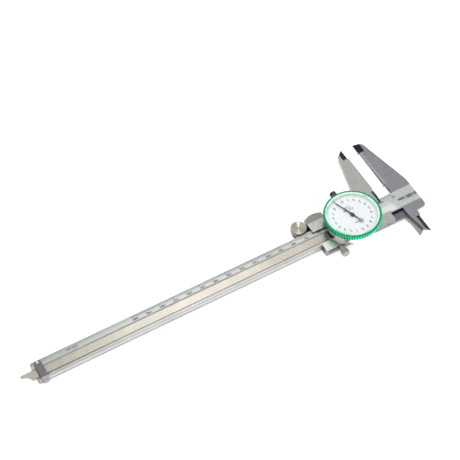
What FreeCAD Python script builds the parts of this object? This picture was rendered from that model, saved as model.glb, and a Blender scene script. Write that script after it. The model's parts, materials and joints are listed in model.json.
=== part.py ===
import FreeCAD, Part
import math
import os

os.makedirs("parts", exist_ok=True)

V = FreeCAD.Vector
X_AXIS = V(1, 0, 0)
Y_AXIS = V(0, 1, 0)
Z_AXIS = V(0, 0, 1)

# Dial caliper, 0 to 200 mm, 0.02 mm per dial division and 2 mm per pointer turn.
# Millimetres. X runs from the fixed measuring face towards the depth rod, Y towards
# the inside jaws, Z up through the dial. The back of the beam is z = 0.

# Beam and scale
RANGE = 200.0
OPENING = 8.89
BEAM_LEFT = -15.5
BEAM_RIGHT = 274.4
BEAM_HALF = 7.3
BEAM_T = 4.0
END_CORNER_R = 1.5
HEAD_TOP = 12.75
HEAD_CORNER_R = 2.0
HALF_T = BEAM_T / 2
LAP_GAP = 0.03

# Outside jaws
JAW_TIP_Y = -57.6
JAW_BEVEL_TOP = -48.2
JAW_BEVEL_W = 4.3
JAW_LAND = 0.3
RELIEF = 0.45
RELIEF_BOTTOM = -17.4

# Inside jaws
NIB_FIXED_X = -6.9
NIB_TIP_Y = 32.35
NIB_BLADE_Y = 18.2
NIB_BEVEL_W = 3.3
NIB_LAND = 0.25

# Groove of the beam, with the rack along its near side and the rod on its floor
GROOVE_LEFT = 1.5
GROOVE_FLOOR = 1.5
GROOVE_Y0 = -2.5
GROOVE_Y1 = 6.2
RACK_LEFT = 8.0
RACK_RIGHT = 266.0
RACK_TOP = 3.85
RACK_TEETH_FROM = 16.0
RACK_TEETH_TO = RACK_TEETH_FROM + RANGE + 10.0
RACK_RIVET_R = 0.35
RACK_RIVET_Y = 5.7
RACK_RIVETS = 6
RACK_RIVET_DEPTH = 0.9
RACK_RIVET_INSET = 3.0

# Depth rod
ROD_LEFT = 18.0
ROD_Y0 = -2.45
ROD_Y1 = 3.95
ROD_Z0 = 1.55
ROD_Z1 = 3.0
ROD_TIP_W = 2.0
ROD_TAPER = 6.0
ROD_SHOULDER = 0.4
ROD_PIN_HOLE_R = 0.35
LUG_LEFT = 42.4
LUG_RIGHT = 51.1
LUG_Y0 = -2.0
LUG_Y1 = 2.6

# Gearing: rack and rack pinion, then main gear and centre pinion
RACK_PINION_TEETH = 16
TRAVEL_PER_PINION_TURN = 10.0
RACK_MODULE = TRAVEL_PER_PINION_TURN / (math.pi * RACK_PINION_TEETH)
GEAR_MODULE = 0.2
MAIN_TEETH = 60
CENTRE_TEETH = 12
PRESSURE_ANGLE = math.radians(20)
BACKLASH = 0.04
RACK_PITCH_Y = 4.95
DEDENDUM = 1.25

# Slider
SLIDER_LEFT = OPENING + 1.2
SLIDER_RIGHT = 64.3
SLIDER_BOTTOM = -0.05
SLIDER_TOP = 5.5
WALL_NEAR = 13.65
WALL_FAR = -12.15
BLOCK_FAR = -14.35
BLOCK_W = 14.9
LIP_NEAR = 6.75
LIP_FAR = -4.45
WEB_LEFT = 21.5
WEB_RIGHT = 53.6
SLIDE_GAP = 0.03
GIB_T = 1.0
GIB_END_GAP = 0.6
GIB_Z0 = 0.5
GIB_Z1 = 3.6
READING_BEVEL = 2.0
READING_EDGE_Z = 4.4
REST_LEFT = 50.5
REST_X = 57.0
REST_Y = -6.6
REST_R = 12.1
REST_TOP = 4.9
REST_GROOVES = 9
REST_GROOVE_R = 0.3
REST_GROOVE_FROM = 248.0
REST_GROOVE_STEP = 6.4
LAP_PLATE_LEFT = -5.0
LAP_PLATE_FAR = BEAM_HALF + 0.3
BACK_PLATE_T = 1.4
BACK_PLATE_FAR = -11.55
BACK_PLATE_NEAR = 12.75
NOTCH_LEFT = 56.0
NOTCH_NEAR = -7.7

# Dial
DIAL_X = 37.0
DIAL_Y = 1.2
CASE_R = 17.7
CASE_INNER_R = 16.2
CASE_FLOOR = 6.5
CASE_SHOULDER = 10.95
NECK_R = 16.9
NECK_INNER_R = 15.9
NECK_TOP = 12.45
SNAP_GROOVE_Z0 = 11.8
SNAP_GROOVE_Z1 = 12.2
SNAP_GROOVE_DEPTH = 0.3
SNAP_REACH = 0.35
SNAP_GAP = 1.2
BEZEL_R = 19.9
BEZEL_BOTTOM = 11.0
BEZEL_TOP = 14.85
BEZEL_KNURLS = 72
BEZEL_KNURL_DEPTH = 0.4
BEZEL_EDGE = 0.5
DIAL_SEAT_Z = 12.6
DIAL_FACE_Z = 12.95
CRYSTAL_SEAT_Z = 14.4
CRYSTAL_TOP = 15.05
DIAL_PLATE_R = 17.7
DIAL_HOLE_R = 1.3
SPACER_W = 0.4
CRYSTAL_EDGE = 0.3
CRYSTAL_R = 17.9
POINTER_Z = 13.9
POINTER_T = 0.2
POINTER_TIP_R = 16.7
POINTER_TIP_W = 0.36
POINTER_TAIL_R = 9.0
POINTER_LOOP_R = 1.3
POINTER_LOOP_INNER_R = 0.8
POINTER_BUSH_R = 0.8
POINTER_BUSH_T = 0.5
POINTER_CAP_T = 0.2
MM_PER_TURN = 2.0
POINTER_ANGLE = 2 * math.pi * (OPENING / MM_PER_TURN % 1)

# Movement inside the case
RACK_PINION_Z0 = 3.1
RACK_PINION_Z1 = 3.9
CENTRE_PINION_Z0 = 7.3
CENTRE_PINION_Z1 = 8.9
CENTRE_PIVOT_Z = 5.9
MAIN_GEAR_Z = 7.4
TAKEUP_GEAR_Z = 7.95
GEAR_T = 0.5
GEAR_HUB_R = 1.3
MAIN_HUB_T = 0.5
TAKEUP_HUB_T = 0.4
GEAR_WINDOWS = 5
GEAR_WINDOW_R = 1.25
GEAR_WINDOW_CIRCLE_R = 3.4
GEAR_WINDOW_FROM = 30
SPRING_R = 1.9
SPRING_WIRE_R = 0.15
SPRING_GAP = 1.2
BRIDGE_Z = 9.4
BRIDGE_T = 0.7
BRIDGE_R = 15.3
BRIDGE_WINDOW_R = 3.4
BRIDGE_WINDOW_CIRCLE_R = 9.5
BRIDGE_WINDOW_ANGLES = (50, 290)
PILLAR_R = 1.1
PILLAR_CIRCLE_R = 14.0
PILLAR_ANGLES = (0, 125, 235)
ARBOR_HOLE_R = 2.2
SHAFT_R = 0.6
PIVOT_R = 0.4
BEARING_GAP = 0.04

# Thumb wheel
WHEEL_R = 5.6
WHEEL_X = 70.6
WHEEL_Y = -BEAM_HALF - WHEEL_R - SLIDE_GAP
WHEEL_Z0 = 1.7
WHEEL_Z1 = 5.3
WHEEL_CAP_R = 4.7
WHEEL_CAP_T = 0.5
WHEEL_KNURLS = 60
AXLE_R = 1.25
AXLE_HEAD_R = 2.2
AXLE_HEAD_T = 0.6
WHEEL_KNURL_DEPTH = 0.25
WHEEL_DISH_R = 4.2
WHEEL_DISH_DEPTH = 0.25
BRACKET_LEFT = 56.3
BRACKET_RIGHT = 73.0
BRACKET_NEAR = -8.3
BRACKET_HALF = 2.9
BRACKET_END_R = 4.6
BRACKET_BOSS_R = 2.4

# Screws
PLATE_SCREW_R = 0.8
PLATE_SCREW_HEAD_R = 1.5
PLATE_SCREW_HEAD_T = 0.7
PLATE_SCREW_END = 2.4
LUG_SCREW_R = 0.75
LUG_SCREW_HEAD_R = 1.4
LUG_SCREW_HEAD_T = 0.6
LUG_SCREW_END = 1.75
CASE_SCREW_R = 0.8
CASE_SCREW_HEAD_R = 1.4
CASE_SCREW_HEAD_T = 0.6
CASE_SCREW_END = 4.33
BRIDGE_SCREW_R = 0.55
BRIDGE_SCREW_HEAD_R = 1.0
BRIDGE_SCREW_HEAD_T = 0.5
SLOT_W = 0.3
SLOT_DEPTH = 0.3
LOCK_X = 53.0
LOCK_Z = 2.5
LOCK_R = 1.45
LOCK_HEAD_R = 2.7
LOCK_NECK_R = 2.15
LOCK_NECK_END = 16.6
LOCK_END = 20.55
LOCK_SHOE_T = 0.8
LOCK_KNURLS = 28
KNOB_KNURL_DEPTH = 0.25
KNOB_EDGE = 0.4
GIB_SCREW_XS = (15.2, 42.0)
GIB_SCREW_R = 1.0
GIB_SCREW_END = 13.25
CLAMP_X = 37.2
CLAMP_Z = 9.0
CLAMP_SHANK_R = 1.2
CLAMP_BOSS_R = 1.9
CLAMP_KNOB_R = 2.4
CLAMP_KNURLS = 24
CLAMP_END = -24.35
SHOE_NEAR = -17.65
SHOE_FAR = -19.0
SHOE_HALF = 2.5
SHOE_BOTTOM = 7.2
THREAD_GAP = 0.05
STOP_X0 = 266.9
STOP_X1 = 271.9
STOP_T = 0.9
STOP_CORNER_R = 1.2
STOP_FAR = -6.4
STOP_SCREW_Y = -4.9
STOP_SCREW_R = 0.7
STOP_SCREW_HEAD_R = 0.95
STOP_SCREW_HEAD_T = 0.55
STOP_DOME_R = 2.4
STOP_DOME_H = 1.3

# Places that follow from the driving dimensions
RACK_PINION_R = RACK_MODULE * RACK_PINION_TEETH / 2
ARBOR_Y = RACK_PITCH_Y - RACK_PINION_R
CENTRE_DISTANCE = GEAR_MODULE * (MAIN_TEETH + CENTRE_TEETH) / 2
ARBOR_X = DIAL_X - math.sqrt(CENTRE_DISTANCE ** 2 - (ARBOR_Y - DIAL_Y) ** 2)
GIB_Y0 = BEAM_HALF + SLIDE_GAP
GIB_Y1 = GIB_Y0 + GIB_T
CHANNEL_NEAR = GIB_Y1 + SLIDE_GAP
CHANNEL_FAR = -BEAM_HALF - SLIDE_GAP
CHANNEL_TOP = BEAM_T + SLIDE_GAP
BACK_PLATE_Z0 = SLIDER_BOTTOM - BACK_PLATE_T
ROD_TIP_X = BEAM_RIGHT + OPENING
NIB_MOVING_X = NIB_FIXED_X + OPENING
STOP_X = (STOP_X0 + STOP_X1) / 2
WHEEL_CAP_Z = WHEEL_Z1 - WHEEL_CAP_T
AXLE_HEAD_Z = WHEEL_CAP_Z - AXLE_HEAD_T - 0.15
BRIDGE_TOP = BRIDGE_Z + BRIDGE_T


# Helpers

def box(x0, x1, y0, y1, z0, z1):
    return Part.makeBox(x1 - x0, y1 - y0, z1 - z0, V(x0, y0, z0))


def rod_z(r, x, y, z0, z1):
    return Part.makeCylinder(r, z1 - z0, V(x, y, z0), Z_AXIS)


def rod_y(r, x, z, y0, y1):
    return Part.makeCylinder(r, y1 - y0, V(x, y0, z), Y_AXIS)


def ring_z(r_out, r_in, x, y, z0, z1):
    return rod_z(r_out, x, y, z0, z1).cut(rod_z(r_in, x, y, z0, z1))


def prism(points, z0, z1):
    """A closed outline of (x, y) points, raised from z0 to z1."""
    wire = Part.makePolygon([V(x, y, z0) for x, y in points + points[:1]])
    return Part.Face(wire).extrude(V(0, 0, z1 - z0))


def prism_y(points, y0, y1):
    """A closed outline of (x, z) points, drawn out from y0 to y1."""
    wire = Part.makePolygon([V(x, y0, z) for x, z in points + points[:1]])
    return Part.Face(wire).extrude(V(0, y1 - y0, 0))


def joined(first, *others):
    return first.fuse(list(others)).removeSplitter()


def group(solids):
    return Part.makeCompound(list(solids))


def on_circle(r, degrees, x=DIAL_X, y=DIAL_Y):
    a = math.radians(degrees)
    return x + r * math.cos(a), y + r * math.sin(a)


def vertical_edges(shape, x, y):
    """The edges along Z that stand at one corner."""
    def at_corner(edge):
        return all(math.hypot(v.X - x, v.Y - y) < 0.01 for v in edge.Vertexes)
    return [e for e in shape.Edges if at_corner(e)]


def wedge(x_face, x_edge, z_face, z_edge, y0, y1):
    """What a bevel takes off: from x_face on the flat at z_face to the land at x_edge."""
    past_x = x_edge + math.copysign(1, x_edge - x_face)
    past_z = z_face + math.copysign(1, z_face - z_edge)
    slope = (z_edge - z_face) / (x_edge - x_face)
    low = z_face + slope * (past_x - x_face)
    return prism_y([(x_face, z_face), (past_x, low), (past_x, past_z), (x_face, past_z)], y0, y1)


def knurled(r, depth, count, x, y, z0, z1):
    """A disc with shallow V grooves round its rim."""
    points = []
    for i in range(count):
        for share, radius in ((0.0, r), (0.56, r), (0.78, r - depth)):
            a = 2 * math.pi * (i + share) / count
            points.append((x + radius * math.cos(a), y + radius * math.sin(a)))
    return prism(points, z0, z1)


def involute_half_angle(pitch_r, base_r, teeth, r):
    """Half of a tooth's angle at radius r, thinned by half of the backlash."""
    def inv(radius):
        a = math.acos(min(1.0, base_r / radius))
        return math.tan(a) - a
    at_pitch = math.pi / (2 * teeth) - BACKLASH / (2 * pitch_r)
    return at_pitch + inv(pitch_r) - inv(max(r, base_r))


def gear_outline(teeth, module, x, y, tooth_at):
    """Involute teeth, with one tooth centred on the direction tooth_at, in radians."""
    pitch_r = module * teeth / 2
    base_r = pitch_r * math.cos(PRESSURE_ANGLE)
    root_r = pitch_r - DEDENDUM * module
    tip_r = pitch_r + module
    start_r = max(base_r, root_r)
    radii = [start_r + (tip_r - start_r) * k / 3 for k in range(4)]
    if root_r < base_r:
        radii.insert(0, root_r)
    points = []
    for i in range(teeth):
        middle = tooth_at + 2 * math.pi * i / teeth
        half = [involute_half_angle(pitch_r, base_r, teeth, r) for r in radii]
        flank = [(r, middle - h) for r, h in zip(radii, half)]
        flank += [(r, middle + h) for r, h in reversed(list(zip(radii, half)))]
        points += [(x + r * math.cos(a), y + r * math.sin(a)) for r, a in flank]
    return points


def countersunk_z(x, y, top, bottom, head_r, shank_r, head_t):
    """A flat-headed screw along Z, with its head flush at the top."""
    head = Part.makeCone(shank_r, head_r, head_t, V(x, y, top - head_t), Z_AXIS)
    return joined(head, rod_z(shank_r, x, y, bottom, top - head_t))


def slotted(screw, x, y, top, head_r, depth=SLOT_DEPTH):
    """A screw with a screwdriver slot across its top."""
    return screw.cut(box(x - head_r, x + head_r, y - SLOT_W / 2, y + SLOT_W / 2, top - depth, top + 1))


def from_below(shape, top):
    """A shape that ends at the back plate's face, turned over between that face and the top."""
    return shape.mirror(V(0, 0, (top + BACK_PLATE_Z0) / 2), Z_AXIS)


def plate_screw(x, y, top):
    """The outline of a plate screw, driven up from the back plate's face to the top."""
    screw = countersunk_z(x, y, top, BACK_PLATE_Z0, PLATE_SCREW_HEAD_R, PLATE_SCREW_R, PLATE_SCREW_HEAD_T)
    return from_below(screw, top)


def lug_screw(x, y, bottom):
    """The outline of a lug screw, driven down from the slider's top to the bottom."""
    return countersunk_z(x, y, SLIDER_TOP, bottom, LUG_SCREW_HEAD_R, LUG_SCREW_R, LUG_SCREW_HEAD_T)


# Beam and what is fixed to it

def fixed_jaw():
    outline = [
        (BEAM_LEFT, -BEAM_HALF + 1), (BEAM_LEFT, -12.4), (-15.2, -14.2), (-12.9, -25.0),
        (-7.0, -51.2), (-6.5, -53.8), (-4.9, -55.2), (-1.0, JAW_TIP_Y + 0.25), (0, JAW_TIP_Y),
        (0, RELIEF_BOTTOM), (-RELIEF, RELIEF_BOTTOM + RELIEF), (-RELIEF, -BEAM_HALF + 1),
    ]
    jaw = prism(outline, 0, BEAM_T)
    for z_face, z_edge in ((BEAM_T, HALF_T + JAW_LAND / 2), (0, HALF_T - JAW_LAND / 2)):
        jaw = jaw.cut(wedge(-JAW_BEVEL_W, 0, z_face, z_edge, JAW_TIP_Y - 1, JAW_BEVEL_TOP))
    return jaw


def fixed_nib():
    outline = [
        (-7.7, HEAD_TOP - 1), (-7.6, HEAD_TOP), (-7.3, 15.6), (NIB_FIXED_X, NIB_BLADE_Y),
        (NIB_FIXED_X, NIB_TIP_Y), (-2.3, 28.9), (0, 14.6), (0, HEAD_TOP - 1),
    ]
    nib = prism(outline, HALF_T, BEAM_T)
    edge_x = NIB_FIXED_X
    return nib.cut(wedge(edge_x + NIB_BEVEL_W, edge_x, BEAM_T, HALF_T + NIB_LAND,
                         NIB_BLADE_Y, NIB_TIP_Y + 1))


def beam():
    bar = box(BEAM_LEFT, BEAM_RIGHT, -BEAM_HALF, BEAM_HALF, 0, BEAM_T)
    corners = vertical_edges(bar, BEAM_RIGHT, -BEAM_HALF) + vertical_edges(bar, BEAM_RIGHT, BEAM_HALF)
    bar = bar.makeFillet(END_CORNER_R, corners)
    head = box(BEAM_LEFT, 0, BEAM_HALF - 1, HEAD_TOP, 0, BEAM_T)
    head = head.makeFillet(HEAD_CORNER_R, vertical_edges(head, BEAM_LEFT, HEAD_TOP))
    lap = box(BEAM_LEFT - 1, 1, BEAM_HALF, NIB_TIP_Y + 1, -1, HALF_T)
    body = joined(bar, head.cut(lap), fixed_jaw(), fixed_nib())
    groove = box(GROOVE_LEFT, BEAM_RIGHT + 1, GROOVE_Y0, GROOVE_Y1, GROOVE_FLOOR, BEAM_T + 1)
    holes = [rod_z(RACK_RIVET_R, x, RACK_RIVET_Y, GROOVE_FLOOR - RACK_RIVET_DEPTH, GROOVE_FLOOR)
             for x in rivet_places()]
    holes.append(rod_z(STOP_SCREW_R, STOP_X, STOP_SCREW_Y, GROOVE_FLOOR, BEAM_T))
    holes.append(rod_y(STOP_SCREW_R, STOP_X, HALF_T, GROOVE_Y1, BEAM_HALF))
    return body.cut([groove] + holes)


def rivet_places():
    step = (RACK_RIGHT - RACK_LEFT - 2 * RACK_RIVET_INSET) / (RACK_RIVETS - 1)
    return [RACK_LEFT + RACK_RIVET_INSET + step * i for i in range(RACK_RIVETS)]


def rack():
    """A toothed strip. A tooth gap lies opposite the rack pinion when the caliper is at rest."""
    pitch = math.pi * RACK_MODULE
    tip_y = RACK_PITCH_Y - RACK_MODULE
    root_y = RACK_PITCH_Y + DEDENDUM * RACK_MODULE
    slope = math.tan(PRESSURE_ANGLE)
    half_tip = pitch / 4 - BACKLASH / 2 - RACK_MODULE * slope
    half_root = pitch / 4 - BACKLASH / 2 + DEDENDUM * RACK_MODULE * slope
    first = math.ceil((RACK_TEETH_FROM - ARBOR_X) / pitch - 0.5)
    last = math.floor((RACK_TEETH_TO - ARBOR_X) / pitch - 0.5)
    points = [(RACK_LEFT, GROOVE_Y1), (RACK_LEFT, root_y)]
    for i in range(first, last + 1):
        x = ARBOR_X + (i + 0.5) * pitch
        points += [(x - half_root, root_y), (x - half_tip, tip_y)]
        points += [(x + half_tip, tip_y), (x + half_root, root_y)]
    points += [(RACK_RIGHT, root_y), (RACK_RIGHT, GROOVE_Y1)]
    strip = prism(points, GROOVE_FLOOR, RACK_TOP)
    return strip.cut([rod_z(RACK_RIVET_R, x, RACK_RIVET_Y, GROOVE_FLOOR, RACK_TOP)
                      for x in rivet_places()])


def rack_rivets():
    return group(rod_z(RACK_RIVET_R, x, RACK_RIVET_Y, GROOVE_FLOOR - RACK_RIVET_DEPTH, RACK_TOP)
                 for x in rivet_places())


def stop_strap():
    front = box(STOP_X0, STOP_X1, STOP_FAR, BEAM_HALF + STOP_T, BEAM_T, BEAM_T + STOP_T)
    side = box(STOP_X0, STOP_X1, BEAM_HALF, BEAM_HALF + STOP_T, 0.3, BEAM_T + STOP_T)
    strap = joined(front, side)
    bend = [e for e in strap.Edges
            if all(abs(v.Y - BEAM_HALF - STOP_T) < 0.01 and abs(v.Z - BEAM_T - STOP_T) < 0.01
                   for v in e.Vertexes)]
    strap = strap.makeFillet(STOP_T - 0.05, bend)
    ends = vertical_edges(strap, STOP_X0, STOP_FAR) + vertical_edges(strap, STOP_X1, STOP_FAR)
    strap = strap.makeFillet(STOP_CORNER_R, ends)
    holes = [rod_z(STOP_SCREW_R, STOP_X, STOP_SCREW_Y, BEAM_T, BEAM_T + STOP_T),
             rod_y(STOP_SCREW_R, STOP_X, HALF_T, BEAM_HALF, BEAM_HALF + STOP_T)]
    return strap.cut(holes)


def stop_front_screw():
    seat = BEAM_T + STOP_T
    top = seat + STOP_SCREW_HEAD_T
    head = rod_z(STOP_SCREW_HEAD_R, STOP_X, STOP_SCREW_Y, seat, top)
    shank = rod_z(STOP_SCREW_R, STOP_X, STOP_SCREW_Y, GROOVE_FLOOR, seat)
    return slotted(joined(head, shank), STOP_X, STOP_SCREW_Y, top, STOP_SCREW_HEAD_R)


def stop_side_screw():
    """A dome-headed screw in the strap's leg."""
    face_y = BEAM_HALF + STOP_T
    sphere_r = (STOP_DOME_R ** 2 + STOP_DOME_H ** 2) / (2 * STOP_DOME_H)
    ball = Part.makeSphere(sphere_r, V(STOP_X, face_y + STOP_DOME_H - sphere_r, HALF_T))
    dome = ball.common(rod_y(STOP_DOME_R, STOP_X, HALF_T, face_y, face_y + STOP_DOME_H))
    return joined(dome, rod_y(STOP_SCREW_R, STOP_X, HALF_T, GROOVE_Y1 + 0.1, face_y))


# Slider, with the moving jaws

def moving_jaw():
    jaw_x = OPENING
    outline = [
        (0, RELIEF_BOTTOM), (0, JAW_TIP_Y), (1.0, JAW_TIP_Y + 0.25), (3.7, -54.6), (5.4, -53.2),
        (6.4, -51.0), (12.8, -24.6), (BLOCK_W, BLOCK_FAR), (BLOCK_W, WALL_FAR + 1),
        (RELIEF, WALL_FAR + 3.6), (RELIEF, RELIEF_BOTTOM + RELIEF),
    ]
    jaw = prism([(jaw_x + u, y) for u, y in outline], 0, BEAM_T)
    for z_face, z_edge in ((BEAM_T, HALF_T + JAW_LAND / 2), (0, HALF_T - JAW_LAND / 2)):
        jaw = jaw.cut(wedge(jaw_x + JAW_BEVEL_W, jaw_x, z_face, z_edge, JAW_TIP_Y - 1, JAW_BEVEL_TOP))
    return jaw


def moving_nib():
    """The rear half of the inside jaws, on a lap plate that runs behind the head."""
    outline = [
        (LAP_PLATE_LEFT, LAP_PLATE_FAR), (LAP_PLATE_LEFT, 14.6), (-2.6, 28.6),
        (NIB_MOVING_X, NIB_TIP_Y), (NIB_MOVING_X, NIB_BLADE_Y), (NIB_MOVING_X, WALL_NEAR + 1),
        (NIB_MOVING_X + 0.5, WALL_NEAR), (SLIDER_LEFT + 1, WALL_NEAR), (SLIDER_LEFT + 1, CHANNEL_NEAR),
        (SLIDER_LEFT, CHANNEL_NEAR), (SLIDER_LEFT, LAP_PLATE_FAR),
    ]
    top = HALF_T - LAP_GAP
    nib = prism(outline, 0, top)
    edge_x = NIB_MOVING_X
    return nib.cut(wedge(edge_x - NIB_BEVEL_W, edge_x, 0, top - NIB_LAND, NIB_BLADE_Y, NIB_TIP_Y + 1))


def finger_rest():
    """A rounded tongue below the slider for the thumb, grooved along its rim."""
    disc = rod_z(REST_R, REST_X, REST_Y, 0, REST_TOP)
    tongue = disc.common(box(REST_LEFT, SLIDER_RIGHT, REST_Y - REST_R - 1, WALL_FAR + 1, 0, REST_TOP))
    grooves = []
    for i in range(REST_GROOVES):
        x, y = on_circle(REST_R, REST_GROOVE_FROM + REST_GROOVE_STEP * i, REST_X, REST_Y)
        grooves.append(rod_z(REST_GROOVE_R, x, y, -1, SLIDER_TOP))
    return tongue.cut(grooves)


def back_screw_places():
    return [(19.0, 11.2), (61.0, 11.2), (14.0, -10.0), (52.0, -10.0)]


def bracket_screw_places():
    return [(58.5, -10.2), (62.3, -10.2)]


def lug_screw_places():
    return [(44.5, 0.3), (49.0, 0.3)]


def case_screw_places():
    return [on_circle(14.1, 48), on_circle(11.5, 95), on_circle(12.0, 285)]


def slider_frame():
    block = box(SLIDER_LEFT, SLIDER_RIGHT, WALL_FAR, WALL_NEAR, SLIDER_BOTTOM, SLIDER_TOP)
    step = box(SLIDER_LEFT, OPENING + BLOCK_W, BLOCK_FAR, WALL_FAR, SLIDER_BOTTOM, SLIDER_TOP)
    frame = joined(block, step)
    bevel_right = SLIDER_LEFT + READING_BEVEL
    bevel = prism_y([(SLIDER_LEFT - 1, READING_EDGE_Z - 1), (SLIDER_LEFT - 1, SLIDER_TOP + 1),
                     (bevel_right, SLIDER_TOP + 1), (bevel_right, SLIDER_TOP),
                     (SLIDER_LEFT, READING_EDGE_Z)], BLOCK_FAR - 1, 0)
    channel = box(SLIDER_LEFT - 1, SLIDER_RIGHT + 1, CHANNEL_FAR, CHANNEL_NEAR,
                  SLIDER_BOTTOM - 1, CHANNEL_TOP)
    windows = [box(SLIDER_LEFT - 1, WEB_LEFT, LIP_FAR, LIP_NEAR, BEAM_T, SLIDER_TOP + 1),
               box(WEB_RIGHT, SLIDER_RIGHT + 1, LIP_FAR, LIP_NEAR, BEAM_T, SLIDER_TOP + 1)]
    frame = frame.cut([bevel, channel] + windows)
    frame = joined(frame, moving_jaw(), moving_nib(), finger_rest())
    return frame.cut(slider_holes())


def slider_holes():
    holes = [rod_y(LOCK_R + THREAD_GAP, LOCK_X, LOCK_Z, CHANNEL_NEAR, WALL_NEAR)]
    holes += [rod_y(GIB_SCREW_R, x, LOCK_Z, CHANNEL_NEAR, WALL_NEAR) for x in GIB_SCREW_XS]
    holes.append(rod_z(ARBOR_HOLE_R, ARBOR_X, ARBOR_Y, CHANNEL_TOP, SLIDER_TOP))
    holes += [rod_z(PLATE_SCREW_R, x, y, SLIDER_BOTTOM, PLATE_SCREW_END + 0.1)
              for x, y in back_screw_places() + bracket_screw_places()]
    holes += [rod_z(CASE_SCREW_R, x, y, CASE_SCREW_END, SLIDER_TOP) for x, y in case_screw_places()]
    holes += [lug_screw(x, y, CHANNEL_TOP) for x, y in lug_screw_places()]
    return holes


def gib():
    return box(SLIDER_LEFT + GIB_END_GAP, SLIDER_RIGHT - GIB_END_GAP, GIB_Y0, GIB_Y1, GIB_Z0, GIB_Z1)


def gib_set_screws():
    """Headless screws that set the gib, with a slot in each outer end."""
    screws = []
    for x in GIB_SCREW_XS:
        screw = rod_y(GIB_SCREW_R, x, LOCK_Z, GIB_Y1, GIB_SCREW_END)
        slot = box(x - GIB_SCREW_R, x + GIB_SCREW_R, GIB_SCREW_END - SLOT_DEPTH, WALL_NEAR,
                   LOCK_Z - SLOT_W / 2, LOCK_Z + SLOT_W / 2)
        screws.append(screw.cut(slot))
    return group(screws)


def slider_back_plate():
    plate = box(SLIDER_LEFT + 1, SLIDER_RIGHT - 0.3, BACK_PLATE_FAR, BACK_PLATE_NEAR,
                BACK_PLATE_Z0, SLIDER_BOTTOM)
    notch = box(NOTCH_LEFT, SLIDER_RIGHT, BACK_PLATE_FAR - 1, NOTCH_NEAR, BACK_PLATE_Z0, SLIDER_BOTTOM)
    return plate.cut([notch] + [plate_screw(x, y, SLIDER_BOTTOM) for x, y in back_screw_places()])


def screw_from_back(x, y):
    """A plate screw with its slot in the back plate's face."""
    slot = box(x - PLATE_SCREW_HEAD_R, x + PLATE_SCREW_HEAD_R, y - SLOT_W / 2, y + SLOT_W / 2,
               BACK_PLATE_Z0, BACK_PLATE_Z0 + SLOT_DEPTH)
    return plate_screw(x, y, PLATE_SCREW_END).cut(slot)


def back_plate_screws():
    return group(screw_from_back(x, y) for x, y in back_screw_places())


def depth_rod():
    """A flat rod whose end is cut away to a narrow tip, for reaching into corners."""
    shoulder_x = ROD_TIP_X - ROD_TAPER
    tip_r = ROD_TIP_W / 2
    blank = box(ROD_LEFT, ROD_TIP_X - tip_r, ROD_Y0, ROD_Y1, ROD_Z0, ROD_Z1)
    nose = rod_z(tip_r, ROD_TIP_X - tip_r, ROD_Y0 + tip_r, ROD_Z0, ROD_Z1)
    blank = joined(blank, nose)
    depth = ROD_Y1 - ROD_Y0 - ROD_TIP_W
    start = V(shoulder_x, ROD_Y1 + 1, ROD_Z0)
    corner = V(shoulder_x, ROD_Y1 - ROD_SHOULDER, ROD_Z0)
    middle = V(shoulder_x + 1.5, ROD_Y1 - depth * 0.68, ROD_Z0)
    end = V(ROD_TIP_X - tip_r - 0.4, ROD_Y0 + ROD_TIP_W, ROD_Z0)
    far = V(ROD_TIP_X + 1, ROD_Y0 + ROD_TIP_W, ROD_Z0)
    top = V(ROD_TIP_X + 1, ROD_Y1 + 1, ROD_Z0)
    wire = Part.Wire([Part.makeLine(start, corner), Part.Arc(corner, middle, end).toShape(),
                      Part.makeLine(end, far), Part.makeLine(far, top), Part.makeLine(top, start)])
    relief = Part.Face(wire).extrude(V(0, 0, ROD_Z1 - ROD_Z0))
    holes = [rod_z(LUG_SCREW_R, x, y, LUG_SCREW_END, ROD_Z1) for x, y in lug_screw_places()]
    holes.append(rod_z(ROD_PIN_HOLE_R, shoulder_x - 1.5, (ROD_Y0 + ROD_Y1) / 2, ROD_Z0, ROD_Z1))
    return blank.cut([relief] + holes)


def rod_lug():
    """The spacer block that hangs the rod from the slider's web."""
    lug = box(LUG_LEFT, LUG_RIGHT, LUG_Y0, LUG_Y1, ROD_Z1, CHANNEL_TOP)
    return lug.cut([rod_z(LUG_SCREW_R, x, y, ROD_Z1, CHANNEL_TOP) for x, y in lug_screw_places()])


def rod_screws():
    return group(slotted(lug_screw(x, y, LUG_SCREW_END), x, y, SLIDER_TOP, LUG_SCREW_HEAD_R)
                 for x, y in lug_screw_places())


# Lock screw

def lock_shoe():
    return rod_y(LOCK_R - THREAD_GAP, LOCK_X, LOCK_Z, GIB_Y1, GIB_Y1 + LOCK_SHOE_T)


def knurled_knob_y(r, count, x, z, y0, y1):
    """A knurled knob with broken edges along Y, made standing along Z and then laid down."""
    height = y1 - y0
    inner_r = r - KNOB_EDGE
    envelope = joined(Part.makeCone(inner_r, r, KNOB_EDGE, V(0, 0, 0), Z_AXIS),
                      rod_z(r, 0, 0, KNOB_EDGE, height - KNOB_EDGE),
                      Part.makeCone(r, inner_r, KNOB_EDGE, V(0, 0, height - KNOB_EDGE), Z_AXIS))
    knob = knurled(r, KNOB_KNURL_DEPTH, count, 0, 0, 0, height).common(envelope)
    knob.rotate(V(0, 0, 0), X_AXIS, -90)
    knob.translate(V(x, y0, z))
    return knob


def lock_screw():
    neck_start = WALL_NEAR + SLIDE_GAP
    shank = rod_y(LOCK_R, LOCK_X, LOCK_Z, GIB_Y1 + LOCK_SHOE_T, neck_start)
    neck = rod_y(LOCK_NECK_R, LOCK_X, LOCK_Z, neck_start, LOCK_NECK_END)
    head = knurled_knob_y(LOCK_HEAD_R, LOCK_KNURLS, LOCK_X, LOCK_Z, LOCK_NECK_END, LOCK_END)
    return joined(shank, neck, head)


# Thumb wheel

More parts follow.
